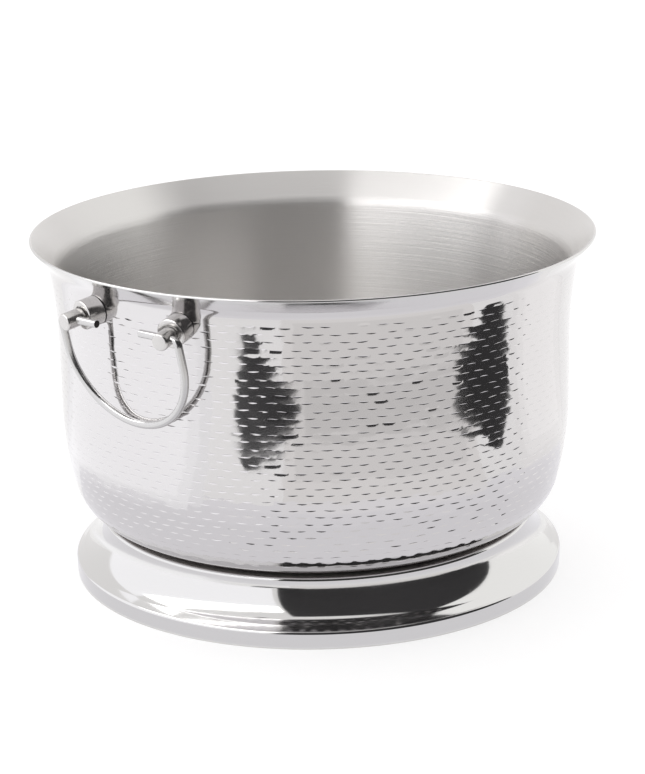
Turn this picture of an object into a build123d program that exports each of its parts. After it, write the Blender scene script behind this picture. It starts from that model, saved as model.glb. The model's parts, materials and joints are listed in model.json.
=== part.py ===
from build123d import *
import os
from math import asin, atan2, cos, degrees, radians, sin, sqrt

# Round double-walled beverage tub on a spun pedestal, with a swinging wire bail on each side.
# Millimetres. +Z is up, the origin is the middle of the tub on the floor, and the two bails
# stand at -X (left) and +X (right). Front is -Y.

# ---- driving dimensions: tub ----
rim_radius = 225.0          # outer edge of the rolled lip
height = 278.0              # floor to the top of the lip
sheet = 0.7                 # thickness of both spun walls
wall_gap = 7.0              # air between the two walls
rim_overhang = 19.6         # lip beyond the belly of the outer shell
corner_radius = 40.0        # between the shell's flat bottom and its side
low_bow = 270.0             # radius of the side's outward bow above the corner
low_lean = 14.0             # lean of the side where the bow meets the corner, degrees
high_bow = 380.0            # radius of the side's sweep outwards below the flare
high_lean = 9.8             # lean of the side where that sweep meets the flare, degrees
flare_bend = 20.0           # bend from the side into the straight flare
flare_angle = 41.0          # lean of the flare, degrees
hem_return = 4.0            # length of the bowl's edge folded under the shell's

# ---- driving dimensions: pedestal and its fixings ----
pedestal_height = 48.0
pedestal_sheet = 1.0
base_inset = 25.5           # lip of the tub to the pedestal's band
neck_inset = 48.3           # lip of the tub to the pedestal's neck
band_height = 14.0          # upright band round the pedestal's foot
band_round = 2.5
shoulder_width = 5.5        # gentle slope between the band and the cove
shoulder_rise = 3.0
neck_round = 2.5            # bend from the neck into the seat flange
seat_width = 60.0           # seat flange, from the neck inwards
foot_return = 6.0           # foot edge turned in along the floor
stud_count = 6
stud_radius = 3.0
stud_inset = 85.0           # lip of the tub to the stud circle
stud_length = 11.0
stud_play = 0.3             # stud to the hole in the flange, on the radius
base_washer_radius = 8.0
base_washer_thickness = 1.2
base_nut_flats = 10.0
base_nut_height = 5.0

# ---- driving dimensions: handle posts ----
post_drop = 28.0            # lip of the tub down to the post's axis at the wall
post_spacing = 92.0         # between the two eyes of one bail
collar_radius = 11.35
collar_length = 14.3
collar_chamfer = 0.8
collar_web = 4.0            # metal left behind the collar's bore
gasket_thickness = 0.6
gasket_inset = 0.4          # gasket edge inside the collar's edge
nose_radius = 6.6
nose_length = 16.3          # beyond the collar
nose_round = 1.6
nose_play = 0.05            # nose in the collar's bore, on the radius
relief_width = 0.9          # groove round the nose in the collar's face
relief_depth = 1.4
eye_setback = 8.6           # eye's centre behind the tip of the nose
shank_radius = 2.5
shank_play = 0.2            # shank in the wall, collar and washer, on the radius
shank_end = 0.6             # shank beyond its nut
post_washer_radius = 7.0
post_washer_thickness = 0.8
post_nut_flats = 8.0
post_nut_height = 2.7

# ---- driving dimensions: bails ----
wire_radius = 3.0
wire_play = 0.08            # wire in the eye, on the radius
bail_leg_offset = 12.0      # centre of an eye out to the centre of the leg beside it
bail_leg = 21.7             # axis of the eyes to the start of the half circle
bail_bend = 5.0             # bend between the leg and the end in the eye
bail_stub = 24.5            # centre of an eye in to the end of the wire
bail_rest_gap = 0.5         # wire to the shell where the bail leans on it
wire_end_round = 0.4

# ---- derived sizes ----
belly = rim_radius - rim_overhang
base_radius = rim_radius - base_inset
neck_radius = rim_radius - neck_inset
stud_circle = rim_radius - stud_inset
hem_radius = 1.5 * sheet
flare = radians(flare_angle)
along_flare = Vector(sin(flare), cos(flare))
out_of_flare = Vector(cos(flare), -sin(flare))
hem_centre = Vector(rim_radius - hem_radius, height - hem_radius)


class WallLine:
    """Section line of a spun wall as (radius, height): flat floor, corner, bowed side, flare.

    step_in moves the whole line inwards from the shell's outer face. The flare ends at lip.
    """

    def __init__(self, step_in, lip):
        self.lip = lip
        self.floor = pedestal_height + step_in
        self.belly = belly - step_in
        self.corner = corner_radius - step_in
        self.low_bow = low_bow - step_in
        self.high_bow = high_bow + step_in
        low, high = radians(low_lean), radians(high_lean)
        self.corner_mid = Vector(
            self.belly - self.low_bow * (1 - cos(low)) - self.corner * cos(low),
            self.floor + self.corner,
        )
        self.belly_low = self.corner_mid.Y + (self.low_bow - self.corner) * sin(low)
        swept = self.high_bow * (1 - cos(high)) + flare_bend * (cos(high) - cos(flare))
        straight = (lip.X - self.belly - swept) / sin(flare)
        self.bend_start = lip.Y - straight * cos(flare) - flare_bend * (sin(flare) - sin(high))
        self.belly_high = self.bend_start - self.high_bow * sin(high)
        self.bend_mid = Vector(
            self.belly + self.high_bow * (1 - cos(high)) + flare_bend * cos(high),
            self.bend_start - flare_bend * sin(high),
        )

    def radius_at(self, z):
        """Radius of the line at height z in its sweep below the flare, and its lean there."""
        rise = z - self.belly_high
        radius = self.belly + self.high_bow - sqrt(self.high_bow**2 - rise**2)
        return radius, asin(rise / self.high_bow)

    def edges(self, inset=0.0):
        """The line's edges from the axis to the lip, moved inwards by inset."""
        corner_mid, bend_mid = self.corner_mid, self.bend_mid
        upright = self.belly - inset
        flat = Line((0, self.floor + inset), (corner_mid.X, self.floor + inset))
        corner = CenterArc(corner_mid, self.corner - inset, -90, 90 - low_lean)
        low = CenterArc((self.belly - self.low_bow, self.belly_low), self.low_bow - inset, -low_lean, low_lean)
        side = Line((upright, self.belly_low), (upright, self.belly_high))
        high = CenterArc((self.belly + self.high_bow, self.belly_high), self.high_bow + inset, 180, -high_lean)
        bend = CenterArc(bend_mid, flare_bend + inset, 180 - high_lean, high_lean - flare_angle)
        flare_line = Line(bend @ 1, self.end(inset))
        return [flat, corner, low, side, high, bend, flare_line]

    def end(self, inset=0.0):
        return self.lip - out_of_flare * inset


def spin(edges):
    """Solid of revolution about Z of the region inside edges drawn as (radius, height)."""
    return revolve(Plane.XZ * make_face(edges), Axis.Z)


def skin(line, near, far):
    """Spun sheet between two insets of one wall line."""
    ends = [Line((0, line.floor + near), (0, line.floor + far)), Line(line.end(near), line.end(far))]
    return spin(line.edges(near) + ends + line.edges(far))


def filled(line, inset):
    """Everything inside a wall line, up to the level of its lip."""
    end = line.end(inset)
    lid = Polyline((end.X, end.Y), (0, end.Y), (0, line.floor + inset))
    return spin(line.edges(inset) + [lid])


def hex_prism(across_flats, length):
    return extrude(RegularPolygon(across_flats / 2, 6, major_radius=False), length)


shell_line = WallLine(0.0, hem_centre + out_of_flare * (sheet / 2))
bowl_line = WallLine(sheet + wall_gap, hem_centre - out_of_flare * (sheet / 2))

# Each post stands square to the wall at this height.
post_z = height - post_drop
post_r, post_tilt = shell_line.radius_at(post_z)
eye_reach = collar_length + nose_length - eye_setback
eye_r = post_r + eye_reach * cos(post_tilt)
eye_z = post_z - eye_reach * sin(post_tilt)
post_angle = asin(post_spacing / 2 / eye_r)
eye_x = eye_r * cos(post_angle)

# The bail leans in until its lowest point lies on the belly of the shell.
bail_half_width = post_spacing / 2 + bail_leg_offset
bail_drop = bail_leg + bail_half_width
bail_lean = asin((eye_x - belly - wire_radius - bail_rest_gap) / bail_drop)


def post_frame(side, end):
    """Frame at the wall whose Z runs out along one post's axis."""
    heading = atan2(end * sin(post_angle), side * cos(post_angle))
    foot = (post_r * cos(heading), post_r * sin(heading), post_z)
    axis = (cos(post_tilt) * cos(heading), cos(post_tilt) * sin(heading), -sin(post_tilt))
    return Plane(origin=foot, x_dir=(-sin(heading), cos(heading), 0), z_dir=axis)


POSTS = {
    "left_front": post_frame(-1, -1),
    "left_rear": post_frame(-1, 1),
    "right_front": post_frame(1, -1),
    "right_rear": post_frame(1, 1),
}
SIDES = {"left": -1, "right": 1}
STUDS = [Pos(p.X, p.Y) for p in (Vector(stud_circle, 0).rotate(Axis.Z, 360 * (i + 0.5) / stud_count)
                                  for i in range(stud_count))]


# ---- tub ----
def outer_shell():
    """Outer wall, open at the lip, with a hole behind each handle post."""
    holes = [frame * Cylinder(shank_radius + shank_play, 6 * sheet) for frame in POSTS.values()]
    return skin(shell_line, 0, sheet) - holes


def inner_bowl():
    """Inner wall; its lip is folded round the shell's edge and holds the two walls together."""
    turn_start = 180 - flare_angle
    inner = CenterArc(hem_centre, sheet / 2, turn_start, -180)
    outer = CenterArc(hem_centre, hem_radius, turn_start, -180)
    under_near = hem_centre + out_of_flare * (sheet / 2)
    under_far = hem_centre + out_of_flare * hem_radius
    back = along_flare * hem_return
    hem = [
        outer,
        Polyline(under_far, under_far - back, under_near - back, under_near),
        inner,
        Line(inner @ 0, outer @ 0),
    ]
    return skin(bowl_line, 0, sheet) + spin(hem)


# ---- pedestal ----
def pedestal_face(inset):
    """Points and edges of the pedestal's section from foot to seat, moved inwards by inset."""
    foot_r = base_radius - inset
    band_top = band_height - inset
    neck_r = neck_radius - inset
    seat_z = pedestal_height - inset
    shoulder = Vector(base_radius - shoulder_width, band_height + shoulder_rise - inset)
    cove_top = pedestal_height - neck_round
    reach, climb = shoulder.X - neck_r, cove_top - shoulder.Y
    cove_radius = (reach**2 + climb**2) / (2 * reach)
    cove_start = degrees(asin(climb / cove_radius))
    cove = CenterArc((neck_r + cove_radius, cove_top), cove_radius, 180 + cove_start, -cove_start)
    band_corner = CenterArc((base_radius - band_round, band_height - band_round), band_round - inset, 0, 70)
    neck_corner = CenterArc((neck_radius - neck_round, cove_top), neck_round - inset, 0, 90)
    band = Line((foot_r, inset), band_corner @ 0)
    slope = Line(band_corner @ 1, cove @ 0)
    seat = Line(neck_corner @ 1, (neck_radius - seat_width, seat_z))
    return [band, band_corner, slope, cove, neck_corner, seat]


def pedestal():
    """Spun foot: upright band, coved side, and a flat seat flange drilled for the studs."""
    outside, inside = pedestal_face(0), pedestal_face(pedestal_sheet)
    foot = Polyline(
        outside[0] @ 0,
        (base_radius - foot_return, 0),
        (base_radius - foot_return, pedestal_sheet),
        inside[0] @ 0,
    )
    seat_edge = Line(outside[-1] @ 1, inside[-1] @ 1)
    hole = Pos(0, 0, pedestal_height) * Cylinder(stud_radius + stud_play, 4 * pedestal_sheet)
    return spin(outside + [foot, seat_edge] + inside) - [stud * hole for stud in STUDS]


def base_studs():
    """Studs welded under the shell's bottom."""
    stud = Cylinder(stud_radius, stud_length, align=(Align.CENTER, Align.CENTER, Align.MAX))
    stud = chamfer(stud.edges().sort_by(Axis.Z)[0], 0.15 * stud_radius)
    return [place * Pos(0, 0, pedestal_height) * stud for place in STUDS]


def base_washers():
    z = pedestal_height - pedestal_sheet - base_washer_thickness
    ring = Circle(base_washer_radius) - Circle(stud_radius + stud_play)
    return [place * Pos(0, 0, z) * extrude(ring, base_washer_thickness) for place in STUDS]


def base_nuts():
    z = pedestal_height - pedestal_sheet - base_washer_thickness - base_nut_height
    nut = hex_prism(base_nut_flats, base_nut_height)
    nut -= Cylinder(stud_radius, 3 * base_nut_height)
    return [place * Pos(0, 0, z) * nut for place in STUDS]


# ---- handle posts ----
def gasket(frame):
    """Thin ring shaped to the wall under the collar."""
    disc = frame * Cylinder(collar_radius - gasket_inset, collar_length)
    bore = frame * Cylinder(shank_radius + shank_play, 2 * collar_length)
    return disc & skin(shell_line, -gasket_thickness, 0) - bore


def collar(frame):
    """Turned sleeve with a coped back, a bore for the nose and a groove round it."""
    blank = Cylinder(collar_radius, 2 * collar_length)
    blank = chamfer(blank.edges().sort_by(Axis.Z)[-1], collar_chamfer)
    through = Cylinder(shank_radius + shank_play, 3 * collar_length)
    upward = (Align.CENTER, Align.CENTER, Align.MIN)
    bore = Pos(0, 0, collar_web) * Cylinder(nose_radius + nose_play, collar_length, align=upward)
    relief = Pos(0, 0, collar_length - relief_depth) * Cylinder(
        nose_radius + relief_width, collar_length, align=upward
    )
    turned = blank - through - bore - relief
    return frame * turned - filled(shell_line, -gasket_thickness)


def eye_pin(frame, side):
    """Stepped pin: a nose drilled across for the wire, and a shank through the wall."""
    nose_total = collar_length + nose_length - collar_web
    upward = (Align.CENTER, Align.CENTER, Align.MIN)
    nose = Cylinder(nose_radius, nose_total, align=upward)
    nose = fillet(nose.edges().sort_by(Axis.Z)[-1], nose_round)
    inside = sheet + post_washer_thickness + post_nut_height + shank_end
    shank = Pos(0, 0, -inside) * Cylinder(shank_radius, inside + collar_web, align=upward)
    pin = frame * (Pos(0, 0, collar_web) * nose + shank)
    eye = Pos(side * eye_x, 0, eye_z) * Rot(90, 0, 0) * Cylinder(wire_radius + wire_play, 2 * post_spacing)
    return pin - eye


def post_washer(frame):
    """Washer pressed to the inside of the wall."""
    disc = frame * Cylinder(post_washer_radius, collar_length)
    bore = frame * Cylinder(shank_radius + shank_play, 2 * collar_length)
    return (disc & skin(shell_line, sheet, sheet + post_washer_thickness)) - bore


def post_nut(frame):
    """Thin nut whose face beds on the washer."""
    depth = sheet + post_washer_thickness + post_nut_height
    blank = Pos(0, 0, -depth) * hex_prism(post_nut_flats, depth)
    bored = frame * (blank - Cylinder(shank_radius, 4 * depth))
    return bored & filled(shell_line, sheet + post_washer_thickness)


# ---- bails ----
def bail(side):
    """One length of round wire: a hanging U whose ends turn in and pass through the eyes."""
    tip, bend = post_spacing / 2 - bail_stub, bail_half_width - bail_bend
    inlet = Line((tip, 0), (bend, 0))
    shoulder = CenterArc((bend, -bail_bend), bail_bend, 90, -90)
    leg = Line((bail_half_width, -bail_bend), (bail_half_width, -bail_leg))
    half = [inlet, shoulder, leg]
    bottom = CenterArc((0, -bail_leg), bail_half_width, 0, -180)
    route = Wire(half + [bottom] + [edge.mirror(Plane.YZ) for edge in half])
    wire = sweep(Plane(origin=route @ 0, z_dir=route % 0) * Circle(wire_radius), path=route)
    ends = wire.faces().filter_by(GeomType.PLANE).edges()
    wire = fillet(ends, wire_end_round)
    hang = Plane(
        origin=(side * eye_x, 0, eye_z),
        x_dir=(0, 1, 0),
        z_dir=(side * cos(bail_lean), 0, -sin(bail_lean)),
    )
    return hang * (wire if side > 0 else Rot(0, 0, 180) * wire)


def write(name, *shapes):
    shape = shapes[0] if len(shapes) == 1 else Compound(children=list(shapes))
    export_step(shape, f"parts/{name}.step")


os.makedirs("parts", exist_ok=True)
write("outer_shell", outer_shell())
write("inner_bowl", inner_bowl())
write("pedestal", pedestal())
write("base_studs", *base_studs())
write("base_washers", *base_washers())
write("base_nuts", *base_nuts())
for name, frame in POSTS.items():
    side = SIDES[name.split("_")[0]]
    write(f"{name}_gasket", gasket(frame))
    write(f"{name}_collar", collar(frame))
    write(f"{name}_eye_pin", eye_pin(frame, side))
    write(f"{name}_washer", post_washer(frame))
    write(f"{name}_nut", post_nut(frame))
for name, side in SIDES.items():
    write(f"{name}_bail", bail(side))
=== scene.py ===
# Round double-walled beverage tub in stainless steel: a hammered outer shell and a brushed bowl seamed at the lip,
# on a spun pedestal, with a wire bail hung from two turned posts on each side.
# Metres, in the frame's axes: Z is up, the floor is Z = 0, the bails are at -X (left) and +X (right), front is -Y.

import json
import random
from math import atan2, cos, pi, radians, sin

import bpy
from mathutils import Matrix, Vector, noise


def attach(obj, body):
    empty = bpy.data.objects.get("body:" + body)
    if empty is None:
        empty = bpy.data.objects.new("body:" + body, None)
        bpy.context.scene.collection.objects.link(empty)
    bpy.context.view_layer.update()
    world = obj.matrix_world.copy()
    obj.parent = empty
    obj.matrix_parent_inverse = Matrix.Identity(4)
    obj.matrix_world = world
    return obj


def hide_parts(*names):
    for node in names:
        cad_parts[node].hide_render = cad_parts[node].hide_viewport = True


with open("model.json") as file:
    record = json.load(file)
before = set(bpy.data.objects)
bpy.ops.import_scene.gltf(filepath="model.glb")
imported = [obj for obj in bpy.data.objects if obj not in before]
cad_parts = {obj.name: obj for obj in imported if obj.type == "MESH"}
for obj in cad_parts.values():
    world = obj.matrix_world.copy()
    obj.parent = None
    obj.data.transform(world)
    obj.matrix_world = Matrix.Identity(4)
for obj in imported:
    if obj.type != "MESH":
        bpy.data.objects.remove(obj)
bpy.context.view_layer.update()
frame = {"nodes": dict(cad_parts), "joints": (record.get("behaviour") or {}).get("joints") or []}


# ---------------------------------------------------------------------------------------------------------------------
# Outer shell. Type 304 stainless sheet 0.7 mm thick, spun over a former, then struck all round its side with a blunt
# chisel in staggered rows, and buffed to a mirror. The bottom, the corner's lower half and the flare are left plain.
# Section lines are lists of stretches, (length, degrees turned), followed from a start point: 0 degrees runs straight.

SHEET = 0.0007
BELLY = 0.2054                          # radius of the shell where its side is upright
FLOOR_OF_SHELL = 0.048                  # height of its flat underside
FLAT_BOTTOM = 0.158568                  # radius of the flat
CORNER, LOWER_SIDE, UPPER_SIDE, THROAT = 0.040, 0.270, 0.380, 0.020     # the bends' radii, going up
STRAIGHT_SIDE, SHELL_LIP = 0.048725, 0.013193                           # and its straight lengths


def bend(radius, turn):
    """A stretch that bends at a radius, anticlockwise for positive degrees."""
    return radius * radians(abs(turn)), turn


SHELL_BOTTOM = [(FLAT_BOTTOM, 0), bend(CORNER, 45)]
SHELL_SIDE = [bend(CORNER, 31), bend(LOWER_SIDE, 14), (STRAIGHT_SIDE, 0), bend(UPPER_SIDE, -9.8)]
SHELL_FLARE = [bend(THROAT, -31.2), (SHELL_LIP, 0)]
SHELL_INSIDE = [(0, 90), (SHEET, 0), (0, 90), (SHELL_LIP, 0), bend(THROAT + SHEET, 31.2),
                bend(UPPER_SIDE + SHEET, 9.8), (STRAIGHT_SIDE, 0), bend(LOWER_SIDE - SHEET, -14),
                bend(CORNER - SHEET, -76), (FLAT_BOTTOM, 0)]


def travel(point, heading, length, turn):
    """Where a stretch ends, and its heading there, in radians."""
    if not turn:
        return point + length * Vector((cos(heading), sin(heading))), heading
    ahead = heading + turn
    return point + length / abs(turn) * Vector(
        (sin(ahead) - sin(heading), cos(heading) - cos(ahead))) * (1 if turn > 0 else -1), ahead


def follow(point, heading, stretches, distance=None):
    """Point and heading at a distance along a section line, or at its end."""
    left = sum(length for length, _ in stretches) if distance is None else distance
    for length, turn in stretches:
        part = min(left, length)
        share = part / length if length else 1
        point, heading = travel(point, heading, part, radians(turn) * share)
        left -= part
        if left <= 0 and distance is not None:
            break
    return point, heading


def deselect():
    bpy.ops.object.select_all(action="DESELECT")


def finish_edit(piece):
    """Merges doubles, turns the faces outwards and leaves edit mode."""
    bpy.ops.mesh.select_all(action="SELECT")
    bpy.ops.mesh.remove_doubles(threshold=2e-6)
    bpy.ops.mesh.normals_make_consistent(inside=False)
    bpy.ops.object.mode_set(mode="OBJECT")
    return piece


def draw(name, point, heading, stretches, fineness):
    """A new mesh of one section line in the XZ plane, in edit mode; fineness is degrees of bend for each edge."""
    deselect()
    bpy.ops.mesh.primitive_plane_add(size=0.01)
    piece = bpy.context.object
    piece.name = piece.data.name = name
    bpy.ops.object.mode_set(mode="EDIT")
    bpy.ops.mesh.merge(type="CENTER")
    bpy.ops.transform.translate(value=(point.x, 0, point.y))
    for length, turn in stretches:
        after, ahead = travel(point, heading, length, radians(turn))
        if length and turn:
            side = 1 if turn > 0 else -1
            centre = point + side * length / radians(abs(turn)) * Vector((-sin(heading), cos(heading)))
            bpy.ops.mesh.spin(steps=max(2, round(abs(turn) / fineness)), angle=radians(abs(turn)),
                              center=(centre.x, 0, centre.y), axis=(0, side, 0))
        elif length:
            bpy.ops.mesh.extrude_region_move(
                TRANSFORM_OT_translate={"value": (after.x - point.x, 0, after.y - point.y)})
        point, heading = after, ahead
    return piece


def lathe(name, point, heading, stretches, fineness, steps):
    """Spins a section line about Z."""
    piece = draw(name, point, heading, stretches, fineness)
    bpy.ops.mesh.select_all(action="SELECT")
    bpy.ops.mesh.spin(steps=steps, angle=2 * pi, center=(0, 0, 0), axis=(0, 0, 1))
    return finish_edit(piece)


def smooth(piece, angle):
    """Shades a piece smooth, except over edges sharper than an angle in degrees."""
    deselect()
    piece.select_set(True)
    bpy.context.view_layer.objects.active = piece
    bpy.ops.object.shade_smooth_by_angle(angle=radians(angle))


def join(pieces):
    """Joins pieces into the first and merges the edges they share."""
    deselect()
    for piece in pieces:
        piece.select_set(True)
    bpy.context.view_layer.objects.active = pieces[0]
    bpy.ops.object.join()
    bpy.ops.object.mode_set(mode="EDIT")
    return finish_edit(pieces[0])


# The struck band is a flat sheet of cells, one mark to a cell and every second row shifted by half a cell.
CELLS_ROUND, ROWS = 96, 34
ACROSS, UP = 6, 4                       # faces in one cell
COLUMNS, LINES = CELLS_ROUND * ACROSS, ROWS * UP
side_start, side_heading = follow(Vector((0, FLOOR_OF_SHELL)), 0, SHELL_BOTTOM)
side_end, flare_heading = follow(side_start, side_heading, SHELL_SIDE)
lip, lip_heading = follow(side_end, flare_heading, SHELL_FLARE)
side_length = sum(length for length, _ in SHELL_SIDE)
cell_width, cell_height = 2 * pi * BELLY / CELLS_ROUND, side_length / ROWS

# Marks differ in place, tilt, half length, curve and depth; those of the top and bottom rows may be faint.
random.seed(41)
marks = {}
for row in range(ROWS):
    for cell in range(CELLS_ROUND):
        weight = random.uniform(0.1, 0.9) if row in (0, ROWS - 1) else random.uniform(0.6, 1.0)
        marks[row, cell] = {
            "shift": Vector((random.uniform(-0.0013, 0.0013), random.uniform(-0.0006, 0.0006))),
            "tilt": radians(random.uniform(-4, 4)),
            "half": random.uniform(0.0034, 0.0046),
            "arch": random.uniform(0.0010, 0.0014),
            "depth": weight * random.uniform(0.00022, 0.00036),
        }

# Where a cell's inner vertices go: along the mark, in shares of its half length, and across it, in shares of its arch.
ALONG, ASIDE = (-1, -0.6, 0, 0.6, 1), (-0.7, -0.05, 0.45)
MARK_END = 0.16                         # width and depth left at a mark's two ends, as shares of its middle
WAVE, WAVES_ROUND, WAVE_HEIGHT = 0.00008, 15, 0.008     # the sheet between the marks is left slightly uneven


def strike(column, line):
    """Offset along the sheet and depth of one vertex of the struck band."""
    row, up = divmod(line, UP)
    cell, across = divmod((column - ACROSS // 2 * (row % 2)) % COLUMNS, ACROSS)
    if up == 0 or across == 0:
        return Vector((0, 0)), 0.0
    mark = marks[row, cell]
    place = ALONG[across - 1]
    crown = max(MARK_END, 1 - place * place)
    rise = ASIDE[up - 1] * crown * mark["arch"]
    spot = Matrix.Rotation(mark["tilt"], 2) @ Vector((place * mark["half"], rise)) + mark["shift"]
    regular = Vector(((across / ACROSS - 0.5) * cell_width, (up / UP - 0.5) * cell_height))
    return spot - regular, mark["depth"] * crown if up == 2 else 0.0


deselect()
bpy.ops.mesh.primitive_grid_add(x_subdivisions=COLUMNS, y_subdivisions=LINES, size=1)
struck_side = bpy.context.object
for vertex in struck_side.data.vertices:
    column, line = round((vertex.co.x + 0.5) * COLUMNS), round((vertex.co.y + 0.5) * LINES)
    offset, depth = (Vector((0, 0)), 0.0) if line in (0, LINES) else strike(column, line)
    turn = 2 * pi * column / COLUMNS + offset.x / BELLY
    distance = side_length * line / LINES + offset.y
    place, heading = follow(side_start, side_heading, SHELL_SIDE, distance)
    fade = min(1, 16 * min(line, LINES - line) / LINES)
    wave = WAVE * fade * noise.noise(
        Vector((cos(turn) * WAVES_ROUND, sin(turn) * WAVES_ROUND, distance / WAVE_HEIGHT)))
    place += (wave - depth) * Vector((sin(heading), -cos(heading)))
    vertex.co = (place.x * cos(turn), place.x * sin(turn), place.y)

shell = join([
    struck_side,
    lathe("shell_bottom", Vector((0, FLOOR_OF_SHELL)), 0, SHELL_BOTTOM, 5, COLUMNS),
    lathe("shell_flare", side_end, flare_heading, SHELL_FLARE, 4, COLUMNS),
    lathe("shell_inside", lip, lip_heading, SHELL_INSIDE, 20, COLUMNS),
])
shell.name = shell.data.name = "hammered_shell"
smooth(shell, 12)


def linear(colour):
    """Linear RGBA of an sRGB hex colour."""
    parts = [int(colour[i:i + 2], 16) / 255 for i in (1, 3, 5)]
    return [c / 12.92 if c <= 0.04045 else ((c + 0.055) / 1.055) ** 2.4 for c in parts] + [1]


def finish(name, colour, metallic, roughness, **sockets):
    """A material with one shader, and its uniform values."""
    material = bpy.data.materials.new(name)
    material.use_nodes = True
    shader = material.node_tree.nodes["Principled BSDF"]
    for socket, value in {"Base Color": linear(colour), "Metallic": metallic, "Roughness": roughness}.items():
        shader.inputs[socket].default_value = value
    for socket, value in sockets.items():
        shader.inputs[socket.replace("_", " ")].default_value = value
    return material


def add(material, kind, inputs, **settings):
    """Adds a node with its settings, its inputs given as values or as other nodes' outputs."""
    made = material.node_tree.nodes.new(kind)
    for name, value in settings.items():
        setattr(made, name, value)
    for socket, value in inputs.items():
        if isinstance(value, bpy.types.NodeSocket):
            material.node_tree.links.new(value, made.inputs[socket])
        else:
            made.inputs[socket].default_value = value
    return made


def feed(material, socket, output):
    """Links an output to a socket of the material's shader."""
    shader = material.node_tree.nodes["Principled BSDF"]
    material.node_tree.links.new(output, shader.inputs[socket])


def drift(material, scale, detail, low, high, spread=0.5):
    """Lets roughness drift between two values with a noise. A smaller spread uses more of the two extremes."""
    where = add(material, "ShaderNodeTexCoord", {})
    cloud = add(material, "ShaderNodeTexNoise",
                {"Vector": where.outputs["Object"], "Scale": scale, "Detail": detail})
    gloss = add(material, "ShaderNodeMapRange",
                {"Value": cloud.outputs["Fac"], "From Min": 0.5 - spread, "From Max": 0.5 + spread,
                 "To Min": low, "To Max": high})
    feed(material, "Roughness", gloss.outputs["Result"])


def wear(pieces, material):
    """Gives pieces one material."""
    for piece in pieces:
        piece.data.materials.clear()
        piece.data.materials.append(material)


def wear_partly(piece, material, chosen):
    """Gives a second material to the faces of a piece that a test chooses."""
    piece.data.materials.append(material)
    for face in piece.data.polygons:
        face.material_index = int(chosen(face))


# Buffed 304: a near mirror whose gloss drifts a little from place to place, where the buff passed more or less often.
hammered_mirror = finish("hammered_and_buffed_304_steel", "#d0cece", 1.0, 0.07)
drift(hammered_mirror, 28, 4, 0.04, 0.11, 0.2)
wear([shell], hammered_mirror)
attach(shell, "tub")
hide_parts("outer_shell")


# ---------------------------------------------------------------------------------------------------------------------
# Inner bowl. The same 0.7 mm sheet, spun, 7 mm inside the shell. Its lip is rolled over the shell's edge and
# pressed back under it, which seams the two walls. Scoured round and round while spinning, so it carries fine rings.

INSET = 0.007 + 2 * SHEET               # from the shell's outside to the bowl's inside
STRAIGHT_WALL, BOWL_LIP = 0.039753, 0.023953
HEM, HEM_FLAP = 1.5 * SHEET, 0.004
BOWL = [(FLAT_BOTTOM, 0), bend(CORNER - INSET, 76), bend(LOWER_SIDE - INSET, 14), (STRAIGHT_WALL, 0),
        bend(UPPER_SIDE + INSET, -9.8), bend(THROAT + SHEET, -31.2), (BOWL_LIP, 0), bend(HEM, -180), (HEM_FLAP, 0)]


def apply_modifier(piece, kind, **settings):
    """Adds a modifier to a piece and applies it."""
    modifier = piece.modifiers.new(kind.lower(), kind)
    for name, value in settings.items():
        setattr(modifier, name, value)
    deselect()
    piece.select_set(True)
    bpy.context.view_layer.objects.active = piece
    bpy.ops.object.modifier_apply(modifier=modifier.name)


bowl = lathe("brushed_bowl", Vector((0, FLOOR_OF_SHELL + INSET)), 0, BOWL, 2.5, 256)
apply_modifier(bowl, "SOLIDIFY", thickness=SHEET, offset=-1, use_even_offset=True)
smooth(bowl, 50)

# The rings are a noise drawn out round the axis. Real scouring is about 0.1 mm apart, too fine to see, so they are
# drawn coarser, about 1.4 mm apart.
RING_SCALE, RING_DRAW, RING_DEPTH = 700, 0.012, 0.00025
brushed = finish("ring_brushed_304_steel", "#dad8d6", 1.0, 0.32, Anisotropic=1.0, Anisotropic_Rotation=0.25)
where = add(brushed, "ShaderNodeTexCoord", {})
flat = add(brushed, "ShaderNodeVectorMath", {0: where.outputs["Object"], 1: (1, 1, 0)}, operation="MULTIPLY")
radius = add(brushed, "ShaderNodeVectorMath", {0: flat.outputs["Vector"]}, operation="LENGTH")
height = add(brushed, "ShaderNodeSeparateXYZ", {"Vector": where.outputs["Object"]})
climb = add(brushed, "ShaderNodeMath", {0: height.outputs["Z"], 1: radius.outputs["Value"]}, operation="SUBTRACT")
rings = add(brushed, "ShaderNodeCombineXYZ", {"Z": climb.outputs["Value"]})
turned = add(brushed, "ShaderNodeVectorMath",
             {0: flat.outputs["Vector"], 1: (RING_DRAW, RING_DRAW, 1), 2: rings.outputs["Vector"]},
             operation="MULTIPLY_ADD")
grain = add(brushed, "ShaderNodeTexNoise",
            {"Vector": turned.outputs["Vector"], "Scale": RING_SCALE, "Detail": 4, "Roughness": 0.7})
lines = add(brushed, "ShaderNodeBump", {"Height": grain.outputs["Fac"], "Strength": 1.0, "Distance": RING_DEPTH})
around = add(brushed, "ShaderNodeTangent", {}, direction_type="RADIAL", axis="Z")
feed(brushed, "Normal", lines.outputs["Normal"])
feed(brushed, "Tangent", around.outputs["Tangent"])

# The scouring reaches only the inside: the hem's outside keeps the buffed mirror that the pedestal has too.
polished = finish("buffed_304_steel", "#d0cfce", 1.0, 0.06)
drift(polished, 22, 4, 0.05, 0.12, 0.2)
wear([bowl], brushed)
wear_partly(bowl, polished, lambda face: face.normal.xy.dot(face.center.xy) > 0.01)
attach(bowl, "tub")
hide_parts("inner_bowl")


# ---------------------------------------------------------------------------------------------------------------------
# Pedestal. 1 mm stainless spun to an upright band, a cove and a flat seat, buffed to a mirror all over its outside.
# Six studs welded under the shell pass through the seat and are held by washers and nuts from below.

PEDESTAL_SHEET, FOOT = 0.001, 0.1935
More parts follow.
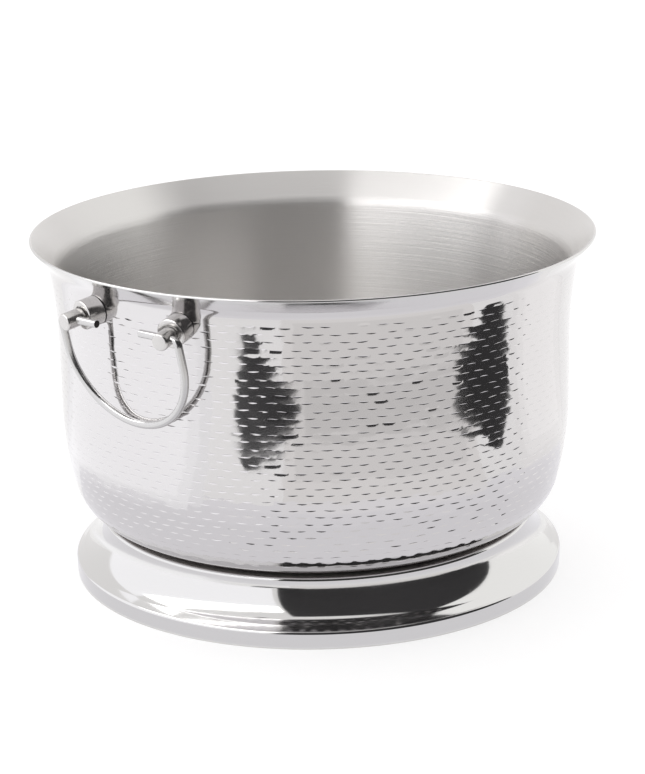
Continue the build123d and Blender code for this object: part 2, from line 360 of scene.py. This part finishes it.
# Going up: the foot's flat rim, the upright band, its shoulder, a bevel, the cove, the seat's edge and the seat.
PEDESTAL = [(0.006, 0), (0, 90), (0.0115, 0), bend(0.0025, 70), (0, -19.26), (0.004979, 0), (0, 11.78),
            bend(0.032125, -62.52), bend(0.0025, 90), (0.0575, 0)]

pedestal = lathe("spun_pedestal", Vector((FOOT, 0)), 0, PEDESTAL, 3, 256)
apply_modifier(pedestal, "SOLIDIFY", thickness=PEDESTAL_SHEET, offset=-1, use_even_offset=True)
smooth(pedestal, 40)
wear([pedestal], polished)

# The seat under the shell can't be reached by the buff and keeps the mill's dull grey, which lightens the gap.
mill = finish("unbuffed_mill_304_steel", "#c2bebb", 1.0, 0.5)
drift(mill, 300, 3, 0.4, 0.6)
wear_partly(pedestal, mill, lambda face: face.normal.z > 0.9 and face.center.z > FLOOR_OF_SHELL - 0.002)
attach(pedestal, "tub")
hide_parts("pedestal")

# Zinc-plated studs, washers and nuts, with the plating's slight cast.
fastener = finish("plated_fastener_steel", "#b9bab8", 1.0, 0.32)
drift(fastener, 700, 3, 0.22, 0.45)
wear([node for name, node in frame["nodes"].items()
      if name.startswith("base_") or name.endswith(("_washer", "_nut"))], fastener)


# ---------------------------------------------------------------------------------------------------------------------
# Gaskets. A black nitrile ring 0.6 mm thick beds each handle post on the shell and shows as a thin dark line.

rubber = finish("black_nitrile_rubber", "#1a1a1b", 0.0, 0.6)
drift(rubber, 900, 2, 0.5, 0.75)
wear([node for name, node in frame["nodes"].items() if name.endswith("_gasket")], rubber)


# ---------------------------------------------------------------------------------------------------------------------
# Handle posts. Each is a turned stainless sleeve with a coped back, and a round-nosed pin through it, drilled across
# for the bail, whose threaded shank passes through the wall to a nut between the walls. All eight pieces are turned.

POST_HEIGHT, POST_RADIUS, POST_TILT, POST_ANGLE = 0.250, 0.209796, radians(8.7233), radians(11.459)
COLLAR_BORE, COPE_DEPTH, COPE_ACROSS, COPE_UP = 0.0027, 0.0006, -2.356, 1.316     # the cope is a shallow saddle
EYE_DRILL, EDGE_BREAK = 0.00308, 0.00012
# The sleeve, from its bore: the back, the side, a chamfer, the end with its step, and the bores of pin and shank.
COLLAR = [(0.00865, 0), (0, 90), (0.0135, 0), (0, 45), (0.0011314, 0), (0, 45), (0.00305, 0), (0, 90), (0.0014, 0),
          (0, -90), (0.00085, 0), (0, 90), (0.0089, 0), (0, -90), (0.00395, 0), (0, 90), (0.004, 0)]
# The pin, from its back: the shank, its shoulder, the body and the rounded nose.
PIN_BACK = -0.0048
PIN = [(0.0025, 0), (0, 90), (0.0088, 0), (0, -90), (0.0041, 0), (0, 90), (0.025, 0), bend(0.0016, 90), (0.005, 0)]
hinges = {joint["child"]: Vector(joint["pos_m"]) for joint in frame["joints"]}
SIDES = {"left": -1, "right": 1}
ENDS = {"front": -1, "rear": 1}


def post_frame(side, end):
    """Placement whose Z runs out along one post's axis, from the wall."""
    heading = atan2(end * sin(POST_ANGLE), side * cos(POST_ANGLE))
    out = Vector((cos(POST_TILT) * cos(heading), cos(POST_TILT) * sin(heading), -sin(POST_TILT)))
    level = Vector((-sin(heading), cos(heading), 0))
    foot = Vector((POST_RADIUS * cos(heading), POST_RADIUS * sin(heading), POST_HEIGHT))
    return Matrix.Translation(foot) @ Matrix((level, out.cross(level), out)).transposed().to_4x4()


def copy_to(piece, name, placement):
    """A copy of a piece with its own mesh, placed in its mesh."""
    twin = piece.copy()
    twin.data = piece.data.copy()
    twin.name = twin.data.name = name
    twin.data.transform(placement)
    bpy.context.scene.collection.objects.link(twin)
    return twin


# The sleeve's back is coped to the wall: round in plan, hollow in height, and clear of it by the gasket.
collar = lathe("collar", Vector((COLLAR_BORE, 0)), 0, COLLAR, 10, 72)
for vertex in collar.data.vertices:
    if vertex.co.z < 0.0001:
        vertex.co.z = COPE_DEPTH + COPE_ACROSS * vertex.co.x ** 2 + COPE_UP * vertex.co.y ** 2
apply_modifier(collar, "BEVEL", width=EDGE_BREAK, segments=2, angle_limit=radians(40))
pin = lathe("eye_pin", Vector((0, PIN_BACK)), 0, PIN, 11, 56)
apply_modifier(pin, "BEVEL", width=EDGE_BREAK, segments=2, angle_limit=radians(60))

turned_steel = finish("fine_turned_304_steel", "#c8c6c4", 1.0, 0.24)
drift(turned_steel, 400, 4, 0.16, 0.32)
for side_name, side in SIDES.items():
    hinge = hinges[side_name + "_bail"]
    deselect()
    bpy.ops.mesh.primitive_cylinder_add(
        vertices=48, radius=EYE_DRILL, depth=0.3, location=hinge, rotation=(pi / 2, 0, 0))
    drill = bpy.context.object
    for end_name, end in ENDS.items():
        post, placement = f"{side_name}_{end_name}", post_frame(side, end)
        sleeve = copy_to(collar, f"{post}_sleeve", placement)
        eye = copy_to(pin, f"{post}_eye", placement)
        apply_modifier(eye, "BOOLEAN", operation="DIFFERENCE", solver="EXACT", object=drill)
        for piece, node in ((sleeve, "collar"), (eye, "eye_pin")):
            smooth(piece, 30)
            wear([piece], turned_steel)
            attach(piece, "tub")
            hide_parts(f"{post}_{node}")
    bpy.data.objects.remove(drill)
bpy.data.objects.remove(collar)
bpy.data.objects.remove(pin)


# ---------------------------------------------------------------------------------------------------------------------
# Bails. 6 mm drawn stainless wire bent to a U, its ends turned in and sprung through the eyes. Polished after bending.
# Each hangs in its eyes and leans in until the wire lies against the shell.

WIRE, HALF, STUB_TIP, BEND, LEG, END_BREAK = 0.003, 0.058, 0.0215, 0.005, 0.0217, 0.0004
LEAN = radians(13.072)

deselect()
bpy.ops.mesh.primitive_circle_add(vertices=28, radius=WIRE, location=(0, STUB_TIP, 0), rotation=(pi / 2, 0, 0))
wire = bpy.context.object
bpy.ops.object.transform_apply(location=True, rotation=True)
bpy.ops.object.mode_set(mode="EDIT")
stub, drop = HALF - BEND - STUB_TIP, LEG - BEND
bpy.ops.mesh.extrude_region_move(TRANSFORM_OT_translate={"value": (0, stub, 0)})
bpy.ops.mesh.spin(steps=9, angle=pi / 2, center=(0, HALF - BEND, -BEND), axis=(1, 0, 0))
bpy.ops.mesh.extrude_region_move(TRANSFORM_OT_translate={"value": (0, 0, -drop)})
bpy.ops.mesh.spin(steps=72, angle=pi, center=(0, 0, -LEG), axis=(1, 0, 0))
bpy.ops.mesh.extrude_region_move(TRANSFORM_OT_translate={"value": (0, 0, drop)})
bpy.ops.mesh.spin(steps=9, angle=pi / 2, center=(0, BEND - HALF, -BEND), axis=(1, 0, 0))
bpy.ops.mesh.extrude_region_move(TRANSFORM_OT_translate={"value": (0, stub, 0)})
bpy.ops.mesh.select_all(action="SELECT")
bpy.ops.mesh.fill_holes(sides=0)
finish_edit(wire)
apply_modifier(wire, "BEVEL", width=END_BREAK, segments=3, angle_limit=radians(60))

drawn_wire = finish("polished_304_wire", "#c2c1c0", 1.0, 0.18)
drift(drawn_wire, 150, 3, 0.12, 0.26)
# The ends are left as sawn, dull and dark.
cut_end = finish("sawn_304_end", "#3c3a3a", 1.0, 0.45)
for side_name, side in SIDES.items():
    body = side_name + "_bail"
    placement = Matrix.Translation(hinges[body]) @ Matrix.Rotation(side * LEAN, 4, "Y")
    bail = copy_to(wire, f"{side_name}_wire_bail", placement)
    smooth(bail, 40)
    wear([bail], drawn_wire)
    wear_partly(bail, cut_end,
                lambda face: abs(face.center.y) < STUB_TIP + 0.00005 and abs(face.normal.y) > 0.9)
    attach(bail, body)
    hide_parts(body)
bpy.data.objects.remove(wire)


# ---------------------------------------------------------------------------------------------------------------------
# Studio. A pale floor in a white room, with wide soft panels left and right and a lamp on the left. The room's end
# behind the camera is dark, and two dark things lie on the floor. The camera sees only the floor and the white room;
# the rest shows in the steel. Azimuths are degrees to the right of the camera, as seen from the tub.

AZIMUTH = radians(-50.9)
scene = bpy.context.scene
scene.view_settings.view_transform = "Standard"
scene.world = bpy.data.worlds.new("white_room")
scene.world.use_nodes = True
scene.world.node_tree.nodes["Background"].inputs["Color"].default_value = linear("#fdfcfc")
scene.world.node_tree.nodes["Background"].inputs["Strength"].default_value = 1.05

deselect()
bpy.ops.mesh.primitive_plane_add(size=8)
floor = bpy.context.object
floor.name = "floor"
wear([floor], finish("white_sweep_paper", "#c8c8c8", 0.0, 0.9,
                     Emission_Color=(1, 1, 1, 1), Emission_Strength=0.5))
dark = finish("dark_cloth", "#2b2a2c", 0.0, 0.9)


def glow(name, colour, strength):
    """A material that only gives light."""
    return finish(name, "#000000", 0.0, 0.9, Emission_Color=linear(colour), Emission_Strength=strength)


panel_left, panel_right = glow("soft_panel_left", "#fafafd", 1.4), glow("soft_panel_right", "#fefefd", 1.2)
lamp = glow("soft_lamp", "#fdfdfd", 4.4)


def card(piece, material):
    """Makes a piece a part of the room that shows only in the steel."""
    piece.data.transform(Matrix.Rotation(AZIMUTH - pi / 2, 4, "Z"))
    piece.visible_camera = piece.visible_diffuse = piece.visible_shadow = False
    wear([piece], material)


def wall(name, material, azimuths, elevations, radius):
    """A patch of a dome round the tub, between two azimuths and two elevations in degrees."""
    low, high = elevations
    start = radius * Vector((cos(radians(low)), sin(radians(low))))
    piece = draw(name, start, radians(low + 90), [bend(radius, high - low)], 6)
    bpy.ops.mesh.select_all(action="SELECT")
    bpy.ops.mesh.spin(steps=24, angle=radians(azimuths[1] - azimuths[0]), center=(0, 0, 0), axis=(0, 0, -1))
    bpy.ops.object.mode_set(mode="OBJECT")
    piece.data.transform(Matrix.Rotation(radians(azimuths[0]), 4, "Z"))
    card(piece, material)


PATCH_HEIGHT, LAYER = 0.001, 0.0005


def patch(name, material, corners, layer):
    """A flat shape on the floor, its corners given as azimuth and distance from the tub's axis, in layers."""
    mesh = bpy.data.meshes.new(name)
    height = PATCH_HEIGHT + LAYER * layer
    spots = [(far * cos(radians(azimuth)), far * sin(radians(azimuth)), height) for azimuth, far in corners]
    mesh.from_pydata(spots, [], [range(len(spots))])
    piece = bpy.data.objects.new(name, mesh)
    scene.collection.objects.link(piece)
    card(piece, material)


def sector(azimuths, near, far):
    """Corners of a ring sector on the floor."""
    turns = range(azimuths[0], azimuths[1] + 1, 3)
    return [(turn, near) for turn in turns] + [(turn, far) for turn in reversed(turns)]


NEAR_WALL, FAR_WALL = 0.98, 1.3
wall("dark_room", dark, (-19, 88), (0, 63), NEAR_WALL)
wall("soft_panel_left", panel_left, (-122, -22), (0, 42), FAR_WALL)
wall("soft_panel_right", panel_right, (90, 145), (0, 62), FAR_WALL)
wall("lamp_left", lamp, (-110, -22), (40, 54), FAR_WALL)

# The floor's tone in the steel changes in steps, painted with glowing cards: painted shade, greyer at the tub's foot
# and out in front, and painted pools of light, lighter left and right of it.
# Painted shade at the tub's foot: cards a little dimmer than the floor, dimmer in steps closer in.
for step, far in enumerate((0.40, 0.36, 0.32)):
    patch(f"painted_shade_at_foot_{step}", glow(f"painted_shade_at_foot_{step}", "#fcfbff", 1.0 - 0.03 * step),
          sector((-112, 122), 0.2, far), step)
# Painted shade on the floor out in front: glowing cards, dimmer in steps further out.
FRONT_SHADE_STEPS = [((-12, 64), 0.36, 0.96), ((-8, 60), 0.52, 0.88), ((-4, 56), 0.70, 0.76)]
for step, (turns, near, strength) in enumerate(FRONT_SHADE_STEPS):
    patch(f"painted_front_shade_{step}", glow(f"painted_front_shade_{step}", "#fffdfc", strength), sector(turns, near, 0.99), step)
# Painted pools of light on the floor left and right: glowing cards, brighter in steps towards their middles.
for step, spread in enumerate((0, 4, 8)):
    patch(f"painted_light_pool_left_{step}", glow(f"painted_light_pool_left_{step}", "#fcfcfe", 1.1 + 0.08 * step),
          sector((-130 + spread, -40 - spread), 0.30 + 0.01 * spread, 1.2), step)
    patch(f"painted_light_pool_right_{step}", glow(f"painted_light_pool_right_{step}", "#fefdfd", 1.06 + 0.06 * step),
          sector((84 + spread, 128 - spread), 0.38 + 0.015 * spread, 1.2), step)
patch("dark_shape_left", dark, [(-26.5, 0.595), (-22, 0.595), (-20, 0.63), (-15, 0.67), (-9, 0.73), (-5, 0.82),
                                (-10, 1), (-31, 1), (-31, 0.78), (-29, 0.70), (-27, 0.63)], 3)
patch("dark_shape_right", dark, [(71, 0.575), (76, 0.575), (79, 0.65), (83, 0.71), (82, 0.85), (79, 1),
                                 (66, 1), (57, 0.82), (54, 0.74), (58, 0.67), (66, 0.635)], 3)

# The camera is 0.7 m above the floor and tipped down. The picture's longer side spans the sensor's 36 mm.
DISTANCE, HEIGHT, FOCAL_LENGTH = 1.8323, 0.70706, 109.47
YAW, PITCH, ROLL = radians(-0.178), radians(-17.049), radians(-1.048)
lens = bpy.data.cameras.new("camera")
lens.lens = FOCAL_LENGTH
camera = bpy.data.objects.new("camera", lens)
scene.collection.objects.link(camera)
camera.matrix_world = (Matrix.Translation((DISTANCE * sin(AZIMUTH), -DISTANCE * cos(AZIMUTH), HEIGHT))
                       @ Matrix.Rotation(AZIMUTH + YAW, 4, "Z")
                       @ Matrix.Rotation(pi / 2 + PITCH, 4, "X")
                       @ Matrix.Rotation(ROLL, 4, "Z"))
scene.camera = camera
